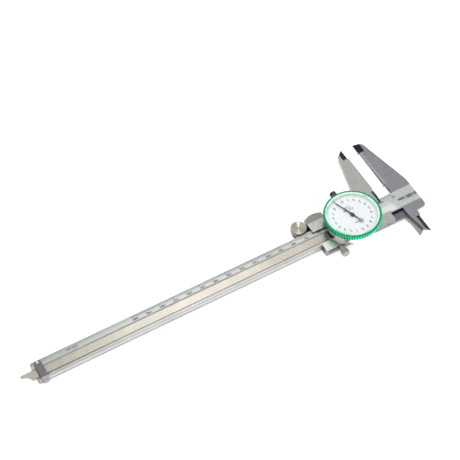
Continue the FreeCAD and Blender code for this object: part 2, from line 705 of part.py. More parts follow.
def wheel_bracket():
    plate = box(BRACKET_LEFT, BRACKET_RIGHT, WHEEL_Y - BRACKET_HALF, BRACKET_NEAR,
                BACK_PLATE_Z0, SLIDER_BOTTOM)
    round_end = rod_z(BRACKET_END_R, WHEEL_X, WHEEL_Y, BACK_PLATE_Z0, SLIDER_BOTTOM)
    boss = rod_z(BRACKET_BOSS_R, WHEEL_X, WHEEL_Y, SLIDER_BOTTOM, WHEEL_Z0 - SLIDE_GAP)
    bracket = joined(plate, round_end, boss)
    holes = [rod_z(AXLE_R, WHEEL_X, WHEEL_Y, BACK_PLATE_Z0, WHEEL_Z0)]
    holes += [plate_screw(x, y, SLIDER_BOTTOM) for x, y in bracket_screw_places()]
    return bracket.cut(holes)


def bracket_screws():
    return group(screw_from_back(x, y) for x, y in bracket_screw_places())


def wheel_axle():
    """A pin fixed in the bracket, whose head holds the wheel down."""
    return joined(rod_z(AXLE_R, WHEEL_X, WHEEL_Y, BACK_PLATE_Z0, AXLE_HEAD_Z),
                  rod_z(AXLE_HEAD_R, WHEEL_X, WHEEL_Y, AXLE_HEAD_Z, AXLE_HEAD_Z + AXLE_HEAD_T))


def thumb_wheel():
    rim = knurled(WHEEL_R, WHEEL_KNURL_DEPTH, WHEEL_KNURLS, WHEEL_X, WHEEL_Y, WHEEL_Z0, WHEEL_Z1)
    bore = rod_z(AXLE_R + BEARING_GAP, WHEEL_X, WHEEL_Y, WHEEL_Z0, AXLE_HEAD_Z)
    pocket = rod_z(AXLE_HEAD_R + 0.1, WHEEL_X, WHEEL_Y, AXLE_HEAD_Z - BEARING_GAP, WHEEL_Z1)
    seat = rod_z(WHEEL_CAP_R, WHEEL_X, WHEEL_Y, WHEEL_CAP_Z, WHEEL_Z1)
    return rim.cut([bore, pocket, seat])


def wheel_cap():
    """The turned disc, slightly dished, that closes the wheel's face."""
    disc = rod_z(WHEEL_CAP_R, WHEEL_X, WHEEL_Y, WHEEL_CAP_Z, WHEEL_Z1)
    dish_bottom = V(WHEEL_X, WHEEL_Y, WHEEL_Z1 - WHEEL_DISH_DEPTH)
    dish = Part.makeCone(0.3, WHEEL_DISH_R, WHEEL_DISH_DEPTH, dish_bottom, Z_AXIS)
    return disc.cut(dish)


# Dial case and movement

def dial_case():
    cup = joined(rod_z(CASE_R, DIAL_X, DIAL_Y, SLIDER_TOP, CASE_SHOULDER),
                 rod_z(NECK_R, DIAL_X, DIAL_Y, CASE_SHOULDER, NECK_TOP),
                 rod_y(CLAMP_BOSS_R, CLAMP_X, CLAMP_Z, SHOE_NEAR, DIAL_Y - CASE_INNER_R))
    cuts = [rod_z(CASE_INNER_R, DIAL_X, DIAL_Y, CASE_FLOOR, CASE_SHOULDER - 1),
            rod_z(NECK_INNER_R, DIAL_X, DIAL_Y, CASE_FLOOR, NECK_TOP),
            ring_z(NECK_R + 1, NECK_R - SNAP_GROOVE_DEPTH, DIAL_X, DIAL_Y, SNAP_GROOVE_Z0, SNAP_GROOVE_Z1),
            rod_z(SHAFT_R + BEARING_GAP, ARBOR_X, ARBOR_Y, SLIDER_TOP, CASE_FLOOR),
            rod_z(PIVOT_R + BEARING_GAP, DIAL_X, DIAL_Y, CENTRE_PIVOT_Z - 0.1, CASE_FLOOR),
            rod_y(CLAMP_SHANK_R + THREAD_GAP, CLAMP_X, CLAMP_Z, SHOE_NEAR, DIAL_Y - CASE_INNER_R + 1)]
    cuts += [rod_z(CASE_SCREW_R, x, y, SLIDER_TOP, CASE_FLOOR) for x, y in case_screw_places()]
    return cup.cut(cuts)


def case_screws():
    """Screws from inside the case into the slider's web."""
    top = CASE_FLOOR + CASE_SCREW_HEAD_T
    screws = []
    for x, y in case_screw_places():
        head = rod_z(CASE_SCREW_HEAD_R, x, y, CASE_FLOOR, top)
        screw = joined(head, rod_z(CASE_SCREW_R, x, y, CASE_SCREW_END, CASE_FLOOR))
        screws.append(slotted(screw, x, y, top, CASE_SCREW_HEAD_R))
    return group(screws)


def pillar_places():
    return [on_circle(PILLAR_CIRCLE_R, a) for a in PILLAR_ANGLES]


def bridge_pillars():
    return group(ring_z(PILLAR_R, BRIDGE_SCREW_R, x, y, CASE_FLOOR, BRIDGE_Z) for x, y in pillar_places())


def movement_bridge():
    plate = rod_z(BRIDGE_R, DIAL_X, DIAL_Y, BRIDGE_Z, BRIDGE_TOP)
    cuts = [rod_z(PIVOT_R + BEARING_GAP, x, y, BRIDGE_Z, BRIDGE_TOP)
            for x, y in ((ARBOR_X, ARBOR_Y), (DIAL_X, DIAL_Y))]
    cuts += [rod_z(BRIDGE_SCREW_R + 0.05, x, y, BRIDGE_Z, BRIDGE_TOP) for x, y in pillar_places()]
    cuts += [rod_z(BRIDGE_WINDOW_R, *on_circle(BRIDGE_WINDOW_CIRCLE_R, a), BRIDGE_Z, BRIDGE_TOP)
             for a in BRIDGE_WINDOW_ANGLES]
    return plate.cut(cuts)


def bridge_screws():
    top = BRIDGE_TOP + BRIDGE_SCREW_HEAD_T
    screws = []
    for x, y in pillar_places():
        head = rod_z(BRIDGE_SCREW_HEAD_R, x, y, BRIDGE_TOP, top)
        screw = joined(head, rod_z(BRIDGE_SCREW_R, x, y, CASE_FLOOR + 1, BRIDGE_TOP))
        screws.append(slotted(screw, x, y, top, BRIDGE_SCREW_HEAD_R, SLOT_DEPTH - 0.1))
    return group(screws)


def mesh_direction():
    return math.atan2(DIAL_Y - ARBOR_Y, DIAL_X - ARBOR_X)


def pinion_arbor():
    """The shaft with the pinion that runs along the rack, in one piece."""
    outline = gear_outline(RACK_PINION_TEETH, RACK_MODULE, ARBOR_X, ARBOR_Y, math.pi / 2)
    pinion = prism(outline, RACK_PINION_Z0, RACK_PINION_Z1)
    shaft = rod_z(SHAFT_R, ARBOR_X, ARBOR_Y, RACK_PINION_Z1, BRIDGE_Z - BEARING_GAP)
    pivot = rod_z(PIVOT_R, ARBOR_X, ARBOR_Y, BRIDGE_Z - BEARING_GAP, BRIDGE_TOP)
    return joined(pinion, shaft, pivot)


def wheel_gear(z0, hub_z0, hub_z1):
    """A spoked 60-tooth wheel with a hub on the arbor."""
    outline = gear_outline(MAIN_TEETH, GEAR_MODULE, ARBOR_X, ARBOR_Y, mesh_direction())
    wheel = prism(outline, z0, z0 + GEAR_T)
    hub = rod_z(GEAR_HUB_R, ARBOR_X, ARBOR_Y, hub_z0, hub_z1)
    cuts = [rod_z(SHAFT_R, ARBOR_X, ARBOR_Y, hub_z0 - 1, hub_z1 + 1)]
    for i in range(GEAR_WINDOWS):
        angle = GEAR_WINDOW_FROM + 360 / GEAR_WINDOWS * i
        x, y = on_circle(GEAR_WINDOW_CIRCLE_R, angle, ARBOR_X, ARBOR_Y)
        cuts.append(rod_z(GEAR_WINDOW_R, x, y, z0, z0 + GEAR_T))
    return joined(wheel, hub).cut(cuts)


def main_gear():
    return wheel_gear(MAIN_GEAR_Z, MAIN_GEAR_Z - MAIN_HUB_T, MAIN_GEAR_Z + GEAR_T)


def takeup_gear():
    return wheel_gear(TAKEUP_GEAR_Z, TAKEUP_GEAR_Z, TAKEUP_GEAR_Z + GEAR_T + TAKEUP_HUB_T)


def takeup_spring():
    """An open wire ring that turns the take-up gear against the main gear."""
    z = TAKEUP_GEAR_Z + GEAR_T + SPRING_WIRE_R + 0.05
    ring = Part.makeTorus(SPRING_R, SPRING_WIRE_R, V(ARBOR_X, ARBOR_Y, z), Z_AXIS)
    half_gap = SPRING_GAP / 2
    gap = box(ARBOR_X, ARBOR_X + 2 * SPRING_R, ARBOR_Y - half_gap, ARBOR_Y + half_gap, z - 1, z + 1)
    return ring.cut(gap)


def centre_arbor():
    """The shaft that carries the pointer, with its own pinion."""
    gap_at = mesh_direction() + math.pi + math.pi / CENTRE_TEETH
    outline = gear_outline(CENTRE_TEETH, GEAR_MODULE, DIAL_X, DIAL_Y, gap_at)
    pinion = prism(outline, CENTRE_PINION_Z0, CENTRE_PINION_Z1)
    shaft = rod_z(SHAFT_R, DIAL_X, DIAL_Y, CASE_FLOOR + BEARING_GAP, BRIDGE_Z - BEARING_GAP)
    pivot = rod_z(PIVOT_R, DIAL_X, DIAL_Y, CENTRE_PIVOT_Z, POINTER_Z + POINTER_T)
    return joined(pinion, shaft, pivot)


def pointer():
    """A tapered hand with a diamond middle and an open loop on its tail."""
    loop_y = POINTER_LOOP_R - POINTER_TAIL_R
    right = [(POINTER_TIP_W / 2, POINTER_TIP_R), (0.35, 9.0), (0.55, 2.3), (1.35, 0), (0.5, -2.2),
             (0.3, loop_y + POINTER_LOOP_R - 0.1)]
    left = [(-x, y) for x, y in reversed(right)]
    hand = joined(prism(right + left, 0, POINTER_T),
                  ring_z(POINTER_LOOP_R, POINTER_LOOP_INNER_R, 0, loop_y, 0, POINTER_T))
    hand.rotate(V(0, 0, 0), Z_AXIS, -math.degrees(POINTER_ANGLE))
    hand.translate(V(DIAL_X, DIAL_Y, POINTER_Z))
    return hand.cut(rod_z(PIVOT_R, DIAL_X, DIAL_Y, POINTER_Z - 1, POINTER_Z + 1))


def pointer_cap():
    """The bush that grips the arbor under the hand and caps it."""
    top = POINTER_Z + POINTER_T
    bush = ring_z(POINTER_BUSH_R, PIVOT_R, DIAL_X, DIAL_Y, POINTER_Z - POINTER_BUSH_T, POINTER_Z)
    cap = rod_z(POINTER_BUSH_R, DIAL_X, DIAL_Y, top, top + POINTER_CAP_T)
    return group([bush, cap])


# Bezel, dial plate and crystal

def bezel():
    ring = knurled(BEZEL_R, BEZEL_KNURL_DEPTH, BEZEL_KNURLS, DIAL_X, DIAL_Y, BEZEL_BOTTOM, BEZEL_TOP)
    edge_z = BEZEL_TOP - BEZEL_EDGE
    envelope = joined(rod_z(BEZEL_R, DIAL_X, DIAL_Y, BEZEL_BOTTOM, edge_z),
                      Part.makeCone(BEZEL_R, BEZEL_R - BEZEL_EDGE, BEZEL_EDGE, V(DIAL_X, DIAL_Y, edge_z)))
    ring = ring.common(envelope)
    cuts = [rod_z(NECK_R + SLIDE_GAP, DIAL_X, DIAL_Y, BEZEL_BOTTOM, DIAL_SEAT_Z),
            rod_z(NECK_R + SNAP_REACH, DIAL_X, DIAL_Y, SNAP_GROOVE_Z0, SNAP_GROOVE_Z1),
            rod_z(DIAL_PLATE_R, DIAL_X, DIAL_Y, DIAL_SEAT_Z, CRYSTAL_SEAT_Z),
            rod_z(CRYSTAL_R, DIAL_X, DIAL_Y, CRYSTAL_SEAT_Z, BEZEL_TOP)]
    return ring.cut(cuts)


def bezel_snap_ring():
    """The wire that keeps the bezel on the case's neck and lets it turn."""
    outer_r = NECK_R + SNAP_REACH - SLIDE_GAP
    inner_r = NECK_R - SNAP_GROOVE_DEPTH + SLIDE_GAP
    z0 = SNAP_GROOVE_Z0 + SLIDE_GAP
    z1 = SNAP_GROOVE_Z1 - SLIDE_GAP
    ring = ring_z(outer_r, inner_r, DIAL_X, DIAL_Y, z0, z1)
    return ring.cut(box(DIAL_X, DIAL_X + BEZEL_R, DIAL_Y - SNAP_GAP / 2, DIAL_Y + SNAP_GAP / 2, z0, z1))


def dial_plate():
    return ring_z(DIAL_PLATE_R, DIAL_HOLE_R, DIAL_X, DIAL_Y, DIAL_SEAT_Z, DIAL_FACE_Z)


def spacer_ring():
    return ring_z(DIAL_PLATE_R, DIAL_PLATE_R - SPACER_W, DIAL_X, DIAL_Y, DIAL_FACE_Z, CRYSTAL_SEAT_Z)


def crystal():
    edge_z = CRYSTAL_TOP - CRYSTAL_EDGE
    low = rod_z(CRYSTAL_R, DIAL_X, DIAL_Y, CRYSTAL_SEAT_Z, edge_z)
    rim = Part.makeCone(CRYSTAL_R, CRYSTAL_R - CRYSTAL_EDGE, CRYSTAL_EDGE, V(DIAL_X, DIAL_Y, edge_z))
    return joined(low, rim)


def bezel_clamp_shoe():
    shoe = box(CLAMP_X - SHOE_HALF, CLAMP_X + SHOE_HALF, SHOE_FAR, SHOE_NEAR,
               SHOE_BOTTOM, BEZEL_BOTTOM - SLIDE_GAP)
    return shoe.cut(rod_y(CLAMP_SHANK_R + THREAD_GAP, CLAMP_X, CLAMP_Z, SHOE_FAR, SHOE_NEAR))


def bezel_clamp_screw():
    knob_end = SHOE_FAR - SLIDE_GAP
    shank = rod_y(CLAMP_SHANK_R, CLAMP_X, CLAMP_Z, knob_end, DIAL_Y - CASE_INNER_R - 0.2)
    knob = knurled_knob_y(CLAMP_KNOB_R, CLAMP_KNURLS, CLAMP_X, CLAMP_Z, CLAMP_END, knob_end)
    return joined(shank, knob)


NODES = [
    beam, rack, rack_rivets, stop_strap, stop_front_screw, stop_side_screw,
    slider_frame, gib, gib_set_screws, slider_back_plate, back_plate_screws,
    depth_rod, rod_lug, rod_screws, lock_shoe, lock_screw,
    wheel_bracket, bracket_screws, wheel_axle, thumb_wheel, wheel_cap,
    dial_case, case_screws, bridge_pillars, movement_bridge, bridge_screws,
    pinion_arbor, main_gear, takeup_gear, takeup_spring,
    centre_arbor, pointer, pointer_cap,
    bezel, bezel_snap_ring, dial_plate, spacer_ring, crystal,
    bezel_clamp_shoe, bezel_clamp_screw,
]

for make in NODES:
    shape = make()
    solids = shape.Solids
    print(make.__name__, len(solids), "solids", round(shape.Volume, 3), "mm3", shape.isValid())
    shape.exportStep("parts/" + make.__name__ + ".step")
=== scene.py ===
import json
import math

import bmesh
import bpy
from mathutils import Matrix, Vector

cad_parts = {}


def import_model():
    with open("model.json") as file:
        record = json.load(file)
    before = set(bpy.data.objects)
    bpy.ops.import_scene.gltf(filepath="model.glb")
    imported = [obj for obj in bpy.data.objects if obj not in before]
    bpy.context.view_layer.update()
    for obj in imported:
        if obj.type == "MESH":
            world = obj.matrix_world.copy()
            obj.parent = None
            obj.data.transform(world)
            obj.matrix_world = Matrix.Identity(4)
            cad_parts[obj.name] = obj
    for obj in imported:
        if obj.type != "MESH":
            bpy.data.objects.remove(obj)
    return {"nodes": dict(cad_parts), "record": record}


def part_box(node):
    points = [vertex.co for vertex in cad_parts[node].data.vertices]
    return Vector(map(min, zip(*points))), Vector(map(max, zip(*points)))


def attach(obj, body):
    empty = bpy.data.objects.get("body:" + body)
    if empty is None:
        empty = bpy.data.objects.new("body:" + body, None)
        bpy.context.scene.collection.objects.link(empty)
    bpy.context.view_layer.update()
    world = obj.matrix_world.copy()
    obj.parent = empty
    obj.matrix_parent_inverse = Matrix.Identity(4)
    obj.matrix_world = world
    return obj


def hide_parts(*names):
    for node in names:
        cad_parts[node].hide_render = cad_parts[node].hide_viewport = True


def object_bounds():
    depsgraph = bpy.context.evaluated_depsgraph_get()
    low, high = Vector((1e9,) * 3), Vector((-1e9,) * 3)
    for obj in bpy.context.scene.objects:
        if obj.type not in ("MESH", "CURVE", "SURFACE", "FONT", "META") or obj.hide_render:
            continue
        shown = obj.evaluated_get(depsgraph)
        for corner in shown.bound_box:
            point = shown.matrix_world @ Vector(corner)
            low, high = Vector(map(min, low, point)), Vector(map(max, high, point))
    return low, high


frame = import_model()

# A dial caliper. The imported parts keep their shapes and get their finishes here. The scale, the
# lettering and the bezel's fine knurl are made here, around those parts.

CAD_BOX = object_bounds()
NODES = frame["nodes"]
MM = 0.001


def rgb(red, green, blue):
    return (red, green, blue, 1.0)


# Camera: the direction it looks from, as azimuth, elevation and roll, and the point it looks at
CAMERA_AZIMUTH = math.radians(27.944)
CAMERA_ELEVATION = math.radians(53.154)
CAMERA_ROLL = math.radians(-1.945)
CAMERA_DISTANCE = 1.0807
CAMERA_AIM = Vector((0.11537, -0.02641, 0.01685))
CAMERA_LENS = 127.11
CAMERA_SENSOR = 36.0
CAMERA_SHIFT = 0.0011
CAMERA_CLIP = 0.05

# Places taken from the frame
STRAP_THICKNESS = 0.9 * MM
BEAM_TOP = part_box("stop_strap")[1].z - STRAP_THICKNESS
RACK_LOW, RACK_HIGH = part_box("rack")
LUG_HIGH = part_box("rod_lug")[1]
DIAL_LOW, DIAL_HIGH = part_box("dial_plate")
BEZEL_LOW, BEZEL_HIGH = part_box("bezel")
CRYSTAL_LOW, CRYSTAL_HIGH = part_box("crystal")
WHEEL_LOW, WHEEL_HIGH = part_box("thumb_wheel")
SLIDER_LOW, SLIDER_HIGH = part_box("slider_frame")
DIAL_CENTRE = (DIAL_LOW + DIAL_HIGH) / 2
DIAL_R = (DIAL_HIGH.x - DIAL_LOW.x) / 2
CRYSTAL_R = (CRYSTAL_HIGH.x - CRYSTAL_LOW.x) / 2
BEZEL_R = (BEZEL_HIGH.x - BEZEL_LOW.x) / 2
WHEEL_CENTRE = (WHEEL_LOW + WHEEL_HIGH) / 2

# Zones of the beam
BAR_HALF = 7.3 * MM
BAR_SIDE_SLACK = 0.1 * MM
HEAD_BAND_NEAR = 6.35 * MM
HEAD_TONE_END = 100 * MM
# End of the painted shadow on the bar's side at the head
HEAD_SHADOW_END = 9.6 * MM
JAW_BEVEL_TOP = -48.2 * MM
JAW_ROOT_Y = -14.4 * MM
JAW_EDGE_STRIP = 1.5 * MM
NIB_BLADE_Y = 18.0 * MM
NUMBER_STRIP_TOP = -2.5 * MM
RAIL_START = RACK_LOW.x - 6.5 * MM
RAIL_LINE_Y = 6.9 * MM
RAIL_LINE_WIDTH = 0.35 * MM
RAIL_FOOT = 0.75 * MM
RACK_SEAM = 0.15 * MM
GROOVE_Y = (-2.55 * MM, RACK_HIGH.y + 0.05 * MM)
GROOVE_Z = (1.4 * MM, 3.95 * MM)
LAPPED_TOP_AT_TIP = 2.7 * MM
LAPPED_TOP_AT_ROOT = 1.5 * MM

# Zones of the slider, the rod and the strap
FAR_BLOCK_Y = -2.0 * MM
REST_ROOT_Y = -12.0 * MM
REST_Z = (4.6 * MM, 5.1 * MM)
LAP_TOP = 3.0 * MM
NIB_ROOT_Y = 15.5 * MM
END_NEAR = 12 * MM
WALL_X = (50 * MM, 62.5 * MM)
WALL_Z = (2.4 * MM, 4.8 * MM)
# Painted shade on the rod fades out between these two places
ROD_SHADE_END = LUG_HIGH.x + 3.5 * MM
ROD_UNSHADED_START = LUG_HIGH.x + 6.5 * MM
# Where the end strap's painted highlight begins
STRAP_HIGHLIGHT_Y = RACK_HIGH.y + 0.3 * MM

# How squarely a face looks along an axis, where 1 is fully square
SQUARE = 0.7
LAPPED_SQUARE = 0.95
SLIDER_TOP_SQUARE = 0.9
BEZEL_RIM_SQUARE = 0.93
UPWARD = 0.5
JAW_BEVEL = (0.1, 0.9)
NIB_BEVEL = (-0.9, -0.2)
SLIDER_BEVEL = (-0.95, -0.1)

# Tones of the beam
FORGED_GREY = rgb(0.205, 0.194, 0.214)
EDGE_GREY = rgb(0.29, 0.28, 0.30)
HEAD_CHROME = rgb(0.38, 0.41, 0.40)
BAR_CHROME = rgb(0.265, 0.275, 0.265)
NUMBER_CHROME = rgb(0.33, 0.345, 0.335)
RAIL = rgb(0.37, 0.38, 0.365)
# Painted reflection of the pale floor on the bar's upright side
RAIL_SIDE_REFLECTION = rgb(0.48, 0.475, 0.475)
SHADOW_GREY = rgb(0.15, 0.14, 0.15)
# Painted light that takes away the shade in the groove
GROOVE_WALL_LIGHTENED = rgb(0.86, 0.87, 0.85)
GROOVE_FLOOR_LIGHTENED = rgb(0.60, 0.63, 0.61)
# Blackened steel on the jaw tips and bevels, also used as painted shadow beside the head and under the
# slider's bevel
BLACKENED_AND_SHADOW = rgb(0.014, 0.011, 0.024)
LAPPED = rgb(0.80, 0.80, 0.79)

# Tones of the slider and the fittings
SLIDER_DIM_END = rgb(0.25, 0.25, 0.235)
SLIDER_LIT_END = rgb(0.52, 0.53, 0.485)
SLIDER_FAR_BLOCK_SHADE = rgb(0.31, 0.31, 0.285)
SLIDER_JAW = rgb(0.315, 0.313, 0.293)
SLIDER_REST = rgb(0.165, 0.17, 0.16)
SLIDER_LAP_SHADE = rgb(0.125, 0.118, 0.132)
SLIDER_NIB = rgb(0.26, 0.26, 0.23)
SLIDER_SIDE_SHADE = rgb(0.27, 0.25, 0.275)
END_SHADE = rgb(0.035, 0.033, 0.045)
WALL_SHADE = rgb(0.07, 0.06, 0.085)
# Painted shade on the rod beside the slider
ROD_SHADE = rgb(0.12, 0.155, 0.18)
ROD_CREAM = rgb(0.35, 0.33, 0.285)
DARK_GREY = rgb(0.125, 0.12, 0.127)
# Painted highlight on the end strap over the rail
STRAP_HIGHLIGHT = rgb(0.33, 0.31, 0.345)
SCREW_GREY = rgb(0.55, 0.53, 0.56)
BRASS_YELLOW = rgb(0.75, 0.55, 0.22)
CASE_CHROME = rgb(0.88, 0.87, 0.86)
NICKEL_GREY = rgb(0.25, 0.235, 0.205)
LOCK_GREY = rgb(0.35, 0.335, 0.315)
KNOB_BROWN = rgb(0.075, 0.045, 0.04)

# Tones of the bezel, the dial and the floor
RIB_GROOVE_SHADE = rgb(0.0, 0.09, 0.03)
RIB_CREST_HIGHLIGHT = rgb(0.0, 0.82, 0.34)
RIM_GREEN = rgb(0.02, 0.26, 0.125)
LIP_MINT_REFLECTION = rgb(0.70, 0.96, 0.84)
ENAMEL = rgb(0.69, 0.695, 0.72)
ENAMEL_GREEN_BOUNCE = rgb(0.57, 0.76, 0.67)
HAND_BLACK = rgb(0.018, 0.021, 0.03)
CRYSTAL_TINT = rgb(0.985, 0.995, 0.99)
WHITE = rgb(1, 1, 1)
FLOOR_WHITE = rgb(0.93, 0.93, 0.93)

# How metallic the steel is
STEEL_METALLIC = 0.85
GROOVE_METALLIC = 0.3

# Grain: its cells per metre, how it is stretched along the part's axes, and how strong it is
FINE_LINES = 6000
COARSE_LINES = 1100
STEEL_CLOUDS = 110
BEZEL_CLOUDS = 900
BEZEL_GRAIN = 5000
ENAMEL_GRAIN = 3000
INK_GRAIN = 2500
HAND_GRAIN = 1500
CRYSTAL_SMEAR = 400
FLOOR_CLOUDS = 40
ALONG_X = (0.04, 1, 1)
ALONG_Y = (1, 0.04, 1)
EVEN = (1, 1, 1)
GRAIN_ROUGHNESS = 0.55
CLOUD_CONTRAST = 0.05
FLOOR_CONTRAST = 0.01

# Rubbed edges, and the soft step between two zones
EDGE = 0.12 * MM
EDGE_WEAR = 1.15
EDGE_BEND = (0.75, 0.98)
BEVEL_SAMPLES = 4
SOFT_STEP = 0.05 * MM

# Crystal
CRYSTAL_HAZE = (0.03, 0.09)
CRYSTAL_IOR = 1.3
CRYSTAL_RIPPLE = 0.001 * MM

# Ink
INK_LIFT = 0.015 * MM
INK_DEPTH = 0.012 * MM
INK_BOLD = 0.03 * MM
LETTER_SMOOTHNESS = 3

# Scale and lettering on the beam
SCALE_ZERO = 1.2 * MM
SCALE_LENGTH = 200
TICK_FOOT = -7.05 * MM
TICK_HEADS = {1: -5.0 * MM, 5: -4.6 * MM, 10: -2.75 * MM}
TICK_WIDTHS = {1: 0.2 * MM, 5: 0.2 * MM, 10: 0.3 * MM}
NUMBER_SIZE = 2.3 * MM
NUMBER_GAP = 0.35 * MM
NUMBER_Y = -3.7 * MM
NUMBER_BOLD = 0.07 * MM
RANGE_AT = (-7.9 * MM, 0.6 * MM, BEAM_TOP)
RANGE_SIZE = 3.4 * MM
RANGE_BOLD = 0.17 * MM
READING_AT = (245 * MM, -4.5 * MM, BEAM_TOP)
READING_SIZE = 2.3 * MM

# Dial
DIVISIONS = 100
DIAL_TICK_OUTER = 16.9 * MM
DIAL_TICK_INNERS = {1: 15.7 * MM, 5: 14.85 * MM}
DIAL_TICK_WIDTHS = {1: 0.13 * MM, 5: 0.2 * MM}
CIRCLE_STEPS = 180
CIRCLE_WIDTH = 0.1 * MM
NUMERALS = 20
NUMERAL_R = 13.06 * MM
NUMERAL_SIZE = 3.1 * MM
DIAL_TEXTS = (("mm", 2.6 * MM, 6.6 * MM), ("0.02 mm", 2.2 * MM, -5.2 * MM), ("0-200", 2.0 * MM, -7.4 * MM))
DIAL_INK_Z = DIAL_HIGH.z + INK_LIFT
GREEN_BOUNCE_FROM = 16.9 * MM
GREEN_BOUNCE_TO = 17.7 * MM

# Bezel
RIBS = 72
STEPS_PER_RIB = 8
RIB_DEPTH = 0.4 * MM
RIM_WIDTH = 1.65 * MM
RIM_ROUND = 0.4 * MM
RIM_ROUND_STEPS = 4
LEDGE_DEPTH = 0.75 * MM
FOOT_INSET = 0.6 * MM
SKIRT_INSET = 0.45 * MM
SKIRT_RISE = 0.35 * MM
RIB_RISE = 0.7 * MM
LIP_DROP = 0.3 * MM
CRYSTAL_GAP = 0.02 * MM

# Light and floor
WORLD_STRENGTH = 1.12
WORLD_TONES = ((0.0, 0.45), (0.48, 0.5), (0.56, 0.75), (0.75, 1.0), (1.0, 1.2))
FLOOR_GLOW = 0.46
FLOOR_HALF = 3.0
LAMP_AIM = (0.19, 0.0, 0.0)
WHEEL_LAMP_AT = (-0.014, -0.119, 0.59)


# Node helpers

def add(tree, kind, inputs=None, **settings):
    """A node with its settings, and with values or other nodes' outputs on its inputs."""
    made = tree.nodes.new(kind)
    for name, value in settings.items():
        setattr(made, name, value)
    for socket, value in (inputs or {}).items():
        if isinstance(value, bpy.types.NodeSocket):
            tree.links.new(value, made.inputs[socket])
        else:
            made.inputs[socket].default_value = value
    return made


def maths(tree, operation, a, b):
    return add(tree, "ShaderNodeMath", {0: a, 1: b}, operation=operation).outputs[0]


class Surface:
    """A Principled material in the making, with the coordinates of the part it goes on."""

    def __init__(self, name, **values):
        self.material = bpy.data.materials.new(name)
        self.material.use_nodes = True
        self.tree = self.material.node_tree
        self.shader = self.tree.nodes["Principled BSDF"]
        for socket, value in values.items():
            self.shader.inputs[socket.title()].default_value = value
        place = add(self.tree, "ShaderNodeTexCoord")
        self.place = place.outputs["Object"]
        self.x, self.y, self.z = add(self.tree, "ShaderNodeSeparateXYZ", {0: self.place}).outputs
        facing = add(self.tree, "ShaderNodeSeparateXYZ", {0: place.outputs["Normal"]})
        self.facing_x, self.facing_y, self.facing_z = facing.outputs

    def set(self, socket, value):
        self.tree.links.new(value, self.shader.inputs[socket])

    def ranged(self, value, low, high, start=0.3, end=0.7):
        """A value that runs from start to end, spread from low to high."""
        inputs = {0: value, 1: start, 2: end, 3: low, 4: high}
        return add(self.tree, "ShaderNodeMapRange", inputs).outputs[0]

    def run(self, value, start, end):
        """0 up to the start, 1 from the end on, and an even slope between them."""
        return self.ranged(value, 0.0, 1.0, start, end)

    def above(self, value, edge, soft=SOFT_STEP):
        """1 where the value is over the edge, with a short soft step."""
        return self.run(value, edge - soft, edge + soft)

    def below(self, value, edge, soft=SOFT_STEP):
        """1 where the value is under the edge, with a short soft step."""
        return self.run(value, edge + soft, edge - soft)

    def between(self, value, low, high, soft=SOFT_STEP):
        return self.both(self.above(value, low, soft), self.below(value, high, soft))

    def both(self, first, second):
        return maths(self.tree, "MULTIPLY", first, second)

    def either(self, first, second):
        return maths(self.tree, "MAXIMUM", first, second)

    def mix(self, share, first, second, blend="MIX"):
        """A colour between the first and the second, by the share."""
        inputs = {0: share, 6: first, 7: second}
        return add(self.tree, "ShaderNodeMix", inputs, data_type="RGBA", blend_type=blend).outputs[2]

    def shade(self, colour, by):
        """The colour made darker or lighter by a grey factor."""
        grey = add(self.tree, "ShaderNodeCombineColor", {0: by, 1: by, 2: by}).outputs[0]
        return self.mix(1.0, colour, grey, "MULTIPLY")

    def noise(self, scale, stretch=EVEN, detail=3.0):
        """Noise with the given number of cells per metre, stretched along the part's axes."""
        spread = add(self.tree, "ShaderNodeMapping", {0: self.place, 3: stretch}).outputs[0]
        inputs = {"Vector": spread, "Scale": scale, "Detail": detail, "Roughness": GRAIN_ROUGHNESS}
        return add(self.tree, "ShaderNodeTexNoise", inputs).outputs[0]

    def vector(self, operation, first, second=(0, 0, 0)):
        inputs = {0: first, 1: second}
        return add(self.tree, "ShaderNodeVectorMath", inputs, operation=operation)

    def spoke(self, centre):
        """The flat vector from the upright axis through a centre."""
        offset = self.vector("SUBTRACT", self.place, centre).outputs[0]
        return self.vector("MULTIPLY", offset, (1, 1, 0)).outputs[0]

    def rounded(self, radius):
        """The normal, turned over the edges as if they were slightly rounded."""
        return add(self.tree, "ShaderNodeBevel", {"Radius": radius}, samples=BEVEL_SAMPLES).outputs[0]

    def worn(self, colour):
        """The colour made lighter where an edge has been rubbed bright."""
        normal = add(self.tree, "ShaderNodeNewGeometry").outputs["Normal"]
        align = self.vector("DOT_PRODUCT", self.rounded(2 * EDGE), normal).outputs["Value"]
        return self.shade(colour, self.ranged(align, EDGE_WEAR, 1.0, *EDGE_BEND))

    def bump(self, height, relief, edge=0.0):
        """Relief from a height, over edges that catch the light where an edge radius is given."""
        inputs = {"Height": height, "Distance": relief, "Strength": 1.0}
        if edge:
            inputs["Normal"] = self.rounded(edge)
        self.set("Normal", add(self.tree, "ShaderNodeBump", inputs).outputs[0])


def ground(surface, colour, stretch, rough=(0.27, 0.37), contrast=0.10, relief=0.004 * MM):
    """Fine and coarse grinding lines along one direction, slow clouding, and rubbed edges."""
    fine = surface.noise(FINE_LINES, stretch, detail=2.0)
    coarse = surface.noise(COARSE_LINES, stretch, detail=2.0)
    cloud = surface.noise(STEEL_CLOUDS, detail=2.0)
    colour = surface.shade(colour, surface.ranged(fine, 1 - contrast, 1 + contrast))
    colour = surface.shade(colour, surface.ranged(coarse, 1 - contrast / 2, 1 + contrast / 2))
    colour = surface.shade(colour, surface.ranged(cloud, 1 - CLOUD_CONTRAST, 1 + CLOUD_CONTRAST))
    surface.set("Base Color", surface.worn(colour))
    surface.set("Roughness", surface.ranged(fine, *rough))
    surface.bump(fine, relief, EDGE)
    return surface.material


def coated(surface, colour, grain, rough, contrast):
    """An even coat, with slight changes of tone and gloss."""
    surface.set("Base Color", surface.shade(colour, surface.ranged(grain, 1 - contrast, 1 + contrast)))
    surface.set("Roughness", surface.ranged(grain, *rough))


# Beam

